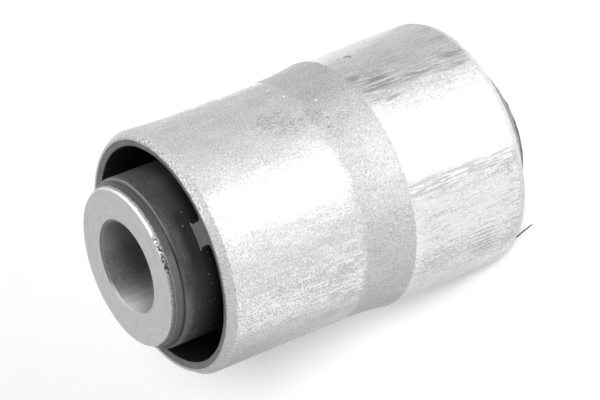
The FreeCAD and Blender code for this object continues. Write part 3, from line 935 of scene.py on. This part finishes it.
def pale_places(tree, tone, angle, radius, z, smear):
    """The tone with the paler flat ends, the painted lip highlight and the witness line over it."""
    front, rear = zone(tree, z, *FRONT_END), zone(tree, z, *REAR_END_FACE)
    ends = add(tree, "Math", {0: front, 1: rear}, operation="ADD")
    ends = add(tree, "Math", {0: ends, 1: zone(tree, radius, *PAST_SKIN)}, operation="MULTIPLY")
    pale = add(tree, "Mix", {FACTOR: smear, FIRST: grey("#787878"), SECOND: grey("#ACACAC")})
    tone = add(tree, "Mix", {FACTOR: ends, FIRST: tone, SECOND: pale})
    # Painted highlight: the lip's edge is lighter on the side that the light catches.
    lip = only_at(tree, zone(tree, z, *LIP), angle, LIP_HIGHLIGHT)
    tone = add(tree, "Mix", {FACTOR: lip, FIRST: tone, SECOND: grey("#A0A0A0")})
    witness = add(tree, "Math", {0: zone(tree, z, *WITNESS), 1: WITNESS_DEPTH}, operation="MULTIPLY")
    return add(tree, "Mix", {FACTOR: witness, FIRST: tone, SECOND: grey("#909090")})


def dusted(tree, tone, place):
    """The tone with specks of dust over it."""
    cells = add(tree, "VectorMath", {0: place, "Scale": 1 / DUST_CELL}, operation="SCALE")
    speck = zone(tree, add(tree, "TexVoronoi", {0: cells, "Scale": 1.0}), *DUST)
    return add(tree, "Mix", {FACTOR: speck, FIRST: tone, SECOND: grey("#B8B8B8")})


# %% Moulded black rubber
RUBBER_ROUGH, SHADE_ROUGH = 0.5, 0.9
RUBBER_RELIEF, RELIEF_IN_RUBBER = 0.4, 0.04


def moulded_rubber():
    material, tree = new_nodes("moulded_rubber")
    place, angle, radius, z = turned_place(tree)
    grit = grain(tree, place, RUBBER_GRIT, detail=3.0)
    smear = grain(tree, place, SMEAR, SMEAR_LENGTH, detail=4.0, wavy=0.6)
    tone = wiped_rubber(tree, angle, radius, z, grit, smear)
    tone, shade = skin_tone(tree, tone, angle, z, zone(tree, radius, *ON_SKIN))
    tone = pale_places(tree, tone, angle, radius, z, smear)
    tone = dusted(tree, tone, place)

    relief = add(tree, "Bump", {"Height": grit, "Strength": RUBBER_RELIEF, "Distance": RELIEF_IN_RUBBER * MM})
    rough = add(tree, "Mix", {FACTOR: shade, FIRST: RUBBER_ROUGH, SECOND: SHADE_ROUGH})
    finish(tree, {"Base Color": tone, "Roughness": rough, "Normal": relief})
    return material


black_rubber = moulded_rubber()
print("moulded_rubber:", len(black_rubber.node_tree.nodes), "nodes")

# %% [markdown]
# ## Rubber body
# The rubber has a thin skin over the inner sleeve and a thin lining inside the outer one. At each
# end two kidney-shaped recesses part them, and the two webs between the recesses join them. A
# recess could be cut with a boolean, but its rounded lips would then be hard to control. So its
# wall is lofted: one kidney outline, repeated at several heights and drawn in or out a little.

# %% Outline of a recess
ARC_STEPS, ROOT_STEPS, BAND_STEPS = 96, 8, 20
web_reach = WEB_HALF + WEB_ROOT
inner_root_y = math.sqrt((SKIN_RADIUS + WEB_ROOT) ** 2 - web_reach ** 2)
INNER_END = math.atan2(inner_root_y, web_reach)


def kidney(outer):
    """The recess on the +X side as (place, direction into the rubber, share of the lip), once
    round from where the lower web meets the skin. The last ARC_STEPS points lie on the skin."""
    outer_root_y = math.sqrt((outer - WEB_ROOT) ** 2 - web_reach ** 2)
    outer_end = math.atan2(outer_root_y, web_reach)
    # Centre, radius, first and last angle, steps, side of the rubber, lip at the start and the end
    course = (
        ((web_reach, -inner_root_y), WEB_ROOT, math.pi - INNER_END, math.pi, ROOT_STEPS, 1, 0, 1),
        ((web_reach, -outer_root_y), WEB_ROOT, math.pi, 2 * math.pi - outer_end, ROOT_STEPS, 1, 1, 1),
        ((0, 0), outer, -outer_end, outer_end, ARC_STEPS, 1, 1, 1),
        ((web_reach, outer_root_y), WEB_ROOT, outer_end, math.pi, ROOT_STEPS, 1, 1, 1),
        ((web_reach, inner_root_y), WEB_ROOT, math.pi, math.pi + INNER_END, ROOT_STEPS, 1, 1, 0),
        ((0, 0), SKIN_RADIUS, INNER_END, -INNER_END, ARC_STEPS, -1, 0, 0),
    )
    loop = []
    for centre, radius, first, last, steps, way, lip_first, lip_last in course:
        for step, spot in enumerate(arc_points(centre, radius, first, last, steps)):
            into = (spot - Vector(centre)).normalized() * way
            lip = lip_first + (lip_last - lip_first) * step / steps
            if not loop or (spot - loop[-1][0]).length > SAME_SPOT:
                loop.append((spot, into, lip))
    return loop[:-1]


print("recess outline:", len(kidney(front_hollow - LINING)), "points")


# %% [markdown]
# The recess is lofted from its floor to its lip. Each ring is the outline at one depth, drawn in
# for the round at the floor and out for the round of the lip. The lip is a little uneven, as
# rubber is where two halves of a mould meet.


# %% Points and faces in the making
class Shell:
    """Points and faces of a mesh in the making, in millimetres."""

    def __init__(self):
        self.points = []
        self.faces = []

    def ring(self, places):
        self.points += places
        return range(len(self.points) - len(places), len(self.points))

    def loft(self, rings):
        """Joins rings that have as many points each by quads."""
        for first, second in zip(rings, rings[1:]):
            for n, here in enumerate(first):
                there = (n + 1) % len(first)
                self.faces.append((here, first[there], second[there], second[n]))


# %% Loft a recess
LIP_ROUND = 0.22
LIP_UNEVEN = 0.5
QUARTER_STEPS = 4
WALL_STEPS = 8


def quarter():
    """The angles of a quarter circle."""
    return [math.pi / 2 * step / QUARTER_STEPS for step in range(QUARTER_STEPS + 1)]


def loft_recess(shell, outer, mouth, way, side):
    """Adds one recess. way is the direction out of it, and side is 1 at +X and -1 at -X."""
    wall = RECESS_DEPTH - FLOOR_ROUND
    steps = [(FLOOR_ROUND * (math.sin(a) - 1), RECESS_DEPTH - FLOOR_ROUND * (1 - math.cos(a)), False)
             for a in quarter()]
    steps += [(0.0, wall * (1 - step / WALL_STEPS), False) for step in range(1, WALL_STEPS)]
    steps += [(LIP_ROUND * (1 - math.cos(a)), LIP_ROUND * (1 - math.sin(a)), True) for a in quarter()]
    rings = []
    for outset, depth, at_lip in steps:
        places = []
        for spot, into, lip in kidney(outer):
            share = lip * (1 + LIP_UNEVEN * noise.noise(Vector((*spot, mouth)))) if at_lip else 1
            moved = spot + into * outset * share
            places.append((side * moved.x, moved.y, mouth - way * depth * share))
        rings.append(shell.ring(places))
    shell.loft(rings)
    shell.faces.append(tuple(rings[0]))
    return [shell.points[n] for n in rings[-1]]


# %% [markdown]
# What is left of each end is flat: the end of the lining and of the two webs. It lies between a
# circle and a path that runs over both lips and across both webs on the skin.


# %% Rings of the skin, and the flat end
def span(first, last, steps):
    return [first + (last - first) * step / steps for step in range(steps)]


web_one = span(INNER_END, math.pi - INNER_END, BAND_STEPS)
web_two = span(math.pi + INNER_END, 2 * math.pi - INNER_END, BAND_STEPS)
skin_angles = (span(-INNER_END, INNER_END, ARC_STEPS) + web_one
               + span(math.pi - INNER_END, math.pi + INNER_END, ARC_STEPS) + web_two)


def circle(radius, z, angles=skin_angles):
    return [(radius * math.cos(a), radius * math.sin(a), z) for a in angles]


def close_end(shell, hollow, mouth, lips):
    """Fills the flat end round both recesses with triangles."""
    ahead, behind = (lip[:-ARC_STEPS + 1] for lip in lips)
    path_round = ahead + circle(SKIN_RADIUS, mouth, web_one[1:]) + behind[::-1]
    path_round += circle(SKIN_RADIUS, mouth, web_two[1:])
    loops = [circle(hollow, mouth), path_round]
    flat = shell.ring(loops[0] + loops[1])
    for corners in tessellate_polygon([[Vector(p) for p in loop] for loop in loops]):
        shell.faces.append(tuple(flat[n] for n in corners))


# %% [markdown]
# The rest is turned: the lining's outside, which follows the steel, and the skin with its rounded
# tips. All of it is one closed mesh, whose parts share their edges.

# %% Rubber body
body = Shell()
ends = ((front_hollow, FRONT_RIM - LINING_SET_BACK, 1), (rear_hollow, REAR_RIM + LINING_SET_BACK, -1))
for hollow, mouth, way in ends:
    lips = [loft_recess(body, hollow - LINING, mouth, way, side) for side in (1, -1)]
    close_end(body, hollow, mouth, lips)

front_mouth, rear_mouth = (mouth for _, mouth, _ in ends)
outside = [(front_hollow, front_mouth), (front_hollow, FLARE_TOP),
           (rear_hollow, CREST), (rear_hollow, rear_mouth)]
body.loft([body.ring(circle(r, z)) for r, z in outside])

skin_corners = [
    (SKIN_RADIUS, front_mouth, 0),
    (SKIN_RADIUS, FRONT_TIP, TIP_ROUND),
    (INNER_RADIUS, FRONT_TIP, 0),
    (INNER_RADIUS, REAR_TIP, 0),
    (SKIN_RADIUS, REAR_TIP, TIP_ROUND),
    (SKIN_RADIUS, rear_mouth, 0),
]
skin = divided(softened(skin_corners, closed=False), closed=False)
body.loft([body.ring(circle(r, z)) for r, z in skin])
rubber = finish_mesh("rubber_moulding", body.points, body.faces, black_rubber)
stand_in(rubber, "rubber_body")

# %% [markdown]
# ## Hair of flash
# Rubber creeps out between the mould and the rear rim as a thin flash. One hair of it was left
# hanging there. It is a tapered tube round a bent line, and starts inside the lining, so that it
# grows out of the rubber.

# %% Hair of flash, its line as (radius, angle, height)
HAIR_SIDES = 6
HAIR_RADIUS, HAIR_TAPER = 0.12, 0.25
HAIR_LINE = ((18.4, -155.6, 5.7), (19.0, -155.5, 5.5), (19.36, -155.2, 5.38), (19.42, -154.4, 5.2),
             (19.4, -153.2, 4.85), (19.36, -152.1, 4.3), (19.36, -151.0, 3.65), (19.3, -150.4, 3.25),
             (19.33, -149.9, 2.9))
UP = Vector((0, 0, 1))

line = [Vector((r * math.cos(math.radians(a)), r * math.sin(math.radians(a)), z)) for r, a, z in HAIR_LINE]
strand = Shell()
rings = []
for number, spot in enumerate(line):
    ahead = (line[min(number + 1, len(line) - 1)] - line[max(number - 1, 0)]).normalized()
    side = ahead.cross(UP).normalized()
    over = ahead.cross(side)
    thick = HAIR_RADIUS * (1 - HAIR_TAPER * number / len(line))
    turns = [2 * math.pi * step / HAIR_SIDES for step in range(HAIR_SIDES)]
    rings.append(strand.ring([spot + (side * math.cos(a) + over * math.sin(a)) * thick for a in turns]))
strand.loft(rings)
strand.faces += [tuple(rings[0]), tuple(rings[-1])]
hair = finish_mesh("flash_hair", strand.points, strand.faces, black_rubber)
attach(hair, "root")

# %% [markdown]
# ## Floor and surroundings
# The studio is white. The floor is white paper that the lamps light until it is plain white,
# except in the bush's shadow. Steel mirrors the floor and the world as an even white too, because
# a glossy ray sees plain light there instead of paper. The world itself throws little light on
# the rubber, as it would with the lamps turned away from it.

# %% Floor and surroundings
FLOOR_SIZE = 4.0
WORLD_FILL = 0.2

white_floor, tree = new_nodes("white_floor")
path = add(tree, "LightPath").node.outputs
mirrored = add(tree, "Math", {0: path["Is Glossy Ray"], 1: path["Is Transmission Ray"]}, operation="MAXIMUM")
paper = add(tree, "BsdfDiffuse", {"Color": colour("#F2F2F2")})
both = add(tree, "MixShader", {0: mirrored, 1: paper, 2: add(tree, "Emission", {"Strength": 1.0})})
add(tree, "OutputMaterial", {"Surface": both})

bpy.ops.mesh.primitive_plane_add(size=FLOOR_SIZE)
floor = bpy.context.object
floor.name = "floor"
floor.data.materials.append(white_floor)

studio, tree = new_nodes("white_studio", bpy.data.worlds)
path = add(tree, "LightPath").node.outputs
seen = add(tree, "Math", {0: path["Is Camera Ray"], 1: path["Is Glossy Ray"]}, operation="MAXIMUM")
seen = add(tree, "Math", {0: seen, 1: path["Is Transmission Ray"]}, operation="MAXIMUM")
strength = add(tree, "Math", {0: seen, 1: 1 - WORLD_FILL, 2: WORLD_FILL}, operation="MULTIPLY_ADD")
add(tree, "OutputWorld", {"Surface": add(tree, "Background", {"Strength": strength})})
studio.cycles.sampling_method = "NONE"
bpy.context.scene.world = studio
print("floor", FLOOR_SIZE, "m wide, world at", WORLD_FILL)

# %% [markdown]
# ## Lamps
# Two lamps in front draw the wide highlight along both seats: a broad soft one and a narrow
# bright one inside it. A weaker lamp lifts the left side, and a high one the front end.
#
# The other two light the floor only, which light linking allows. They stand so close to the
# camera's own direction that the bush hides most of the shadow it throws. What is left of it is
# the soft strip below the bush: the contact lamp keeps it dark along the outline, and the shadow
# lamp lets it fade out. They stand three times as far off as the others, so that the floor behind
# is as white as the floor in front.


# %% Lamps
def soft_lamp(name, azimuth, elevation, distance, width, height, radiance):
    """A rectangular lamp that faces the bush. Azimuth is measured from +X towards +Y, in degrees."""
    lamp = bpy.data.lights.new(name, "AREA")
    lamp.shape = "RECTANGLE"
    lamp.size, lamp.size_y = width, height
    lamp.energy = radiance * math.pi * width * height
    holder = bpy.data.objects.new(name, lamp)
    a, e = math.radians(azimuth), math.radians(elevation)
    way = Vector((math.cos(a) * math.cos(e), math.sin(a) * math.cos(e), math.sin(e)))
    aim = Vector((0, 0, INNER_LENGTH / 2 * MM))
    holder.location = aim + way * distance
    holder.rotation_mode = "QUATERNION"
    holder.rotation_quaternion = way.to_track_quat("Z", "Y")
    bpy.context.scene.collection.objects.link(holder)
    print(name, "at", azimuth, "degrees,", distance, "m away")
    return holder


NEAR, FAR_OFF = 0.9, 2.7
soft_lamp("front_softbox", -88, 8, NEAR, 1.1, 0.4, 2.0)
soft_lamp("front_strip", -83, 8, NEAR, 0.26, 0.4, 14.0)
soft_lamp("side_softbox", -168, 8, NEAR, 0.4, 0.4, 1.5)
soft_lamp("top_softbox", -30, 50, NEAR, 0.45, 0.45, 2.5)
shadow_lamp = soft_lamp("shadow_lamp", -86.5, 29, FAR_OFF, 0.4, 0.4, 60.0)
contact_lamp = soft_lamp("contact_lamp", -89.4, 28.8, FAR_OFF, 0.33, 0.33, 245.0)

only_floor = bpy.data.collections.new("only_floor")
only_floor.objects.link(floor)
for lamp in (shadow_lamp, contact_lamp):
    lamp.light_linking.receiver_collection = only_floor

# %% [markdown]
# ## Cards
# An upright tube mirrors mostly the floor. So the darker and lighter bands along it come from
# cards on the floor, as a photographer would lay them. Only the steel's reflections see them.

# %% Cards on the floor
CARD_HEIGHT = 0.5


def floor_card(name, azimuth, half_width, near, far, tone, strength=1.0):
    """A sector of card between two radii in millimetres."""
    material, tree = new_nodes(name)
    light = add(tree, "Emission", {"Color": colour(tone), "Strength": strength})
    add(tree, "OutputMaterial", {"Surface": light})
    sides = [math.radians(azimuth + way * half_width) for way in (-1, 1)]
    corners = [(near, sides[0]), (far, sides[0]), (far, sides[1]), (near, sides[1])]
    places = [(r * MM * math.cos(a), r * MM * math.sin(a), CARD_HEIGHT * MM) for r, a in corners]
    mesh = bpy.data.meshes.new(name)
    mesh.from_pydata(places, [], [(0, 1, 2, 3)])
    mesh.materials.append(material)
    card = bpy.data.objects.new(name, mesh)
    bpy.context.scene.collection.objects.link(card)
    card.visible_camera = card.visible_diffuse = card.visible_shadow = card.visible_transmission = False
    print(name, "at", azimuth, "degrees")


floor_card("side_card", -6, 24, 24, 130, "#D8D8D8")
floor_card("near_back_card", 130, 35, 24, 75, "#DEDEDE")
floor_card("back_card", 130, 35, 75, 130, "#CCCCCC")
floor_card("far_back_card", 130, 35, 130, 400, "#888888")
floor_card("rear_card", -83, 37, 24, 75, "#FFFFFF", 1.35)
floor_card("bright_card", 66, 26, 24, 400, "#FFFFFF", 1.7)

# %% [markdown]
# ## Camera
# The camera stands where the photograph was taken from. Seen in the frame of the bush, whose
# axis is upright, it looks down on the front end and is rolled over to its right, so that the
# bush lies in the picture as it does there. A long lens from 0.44 m away gives the same
# foreshortening.

# %% Camera
AIM = Vector((0.07, 0.0, 33.2)) * MM
AZIMUTH = math.radians(-2.53)
ELEVATION = math.radians(28.02)
ROLL = math.radians(111.28)
DISTANCE = 439.5 * MM
LENS = 174.8

lens = bpy.data.cameras.new("camera")
lens.lens = LENS
camera = bpy.data.objects.new("camera", lens)
back = Vector((math.sin(AZIMUTH) * math.cos(ELEVATION), -math.cos(AZIMUTH) * math.cos(ELEVATION),
               math.sin(ELEVATION)))
camera.location = AIM + back * DISTANCE
camera.rotation_mode = "QUATERNION"
camera.rotation_quaternion = (-back).to_track_quat("-Z", "Y") @ Quaternion((0, 0, 1), -ROLL)
bpy.context.scene.collection.objects.link(camera)
bpy.context.scene.camera = camera
bpy.context.scene.view_settings.view_transform = "Standard"
print("camera", DISTANCE, "m away, lens", LENS, "mm")
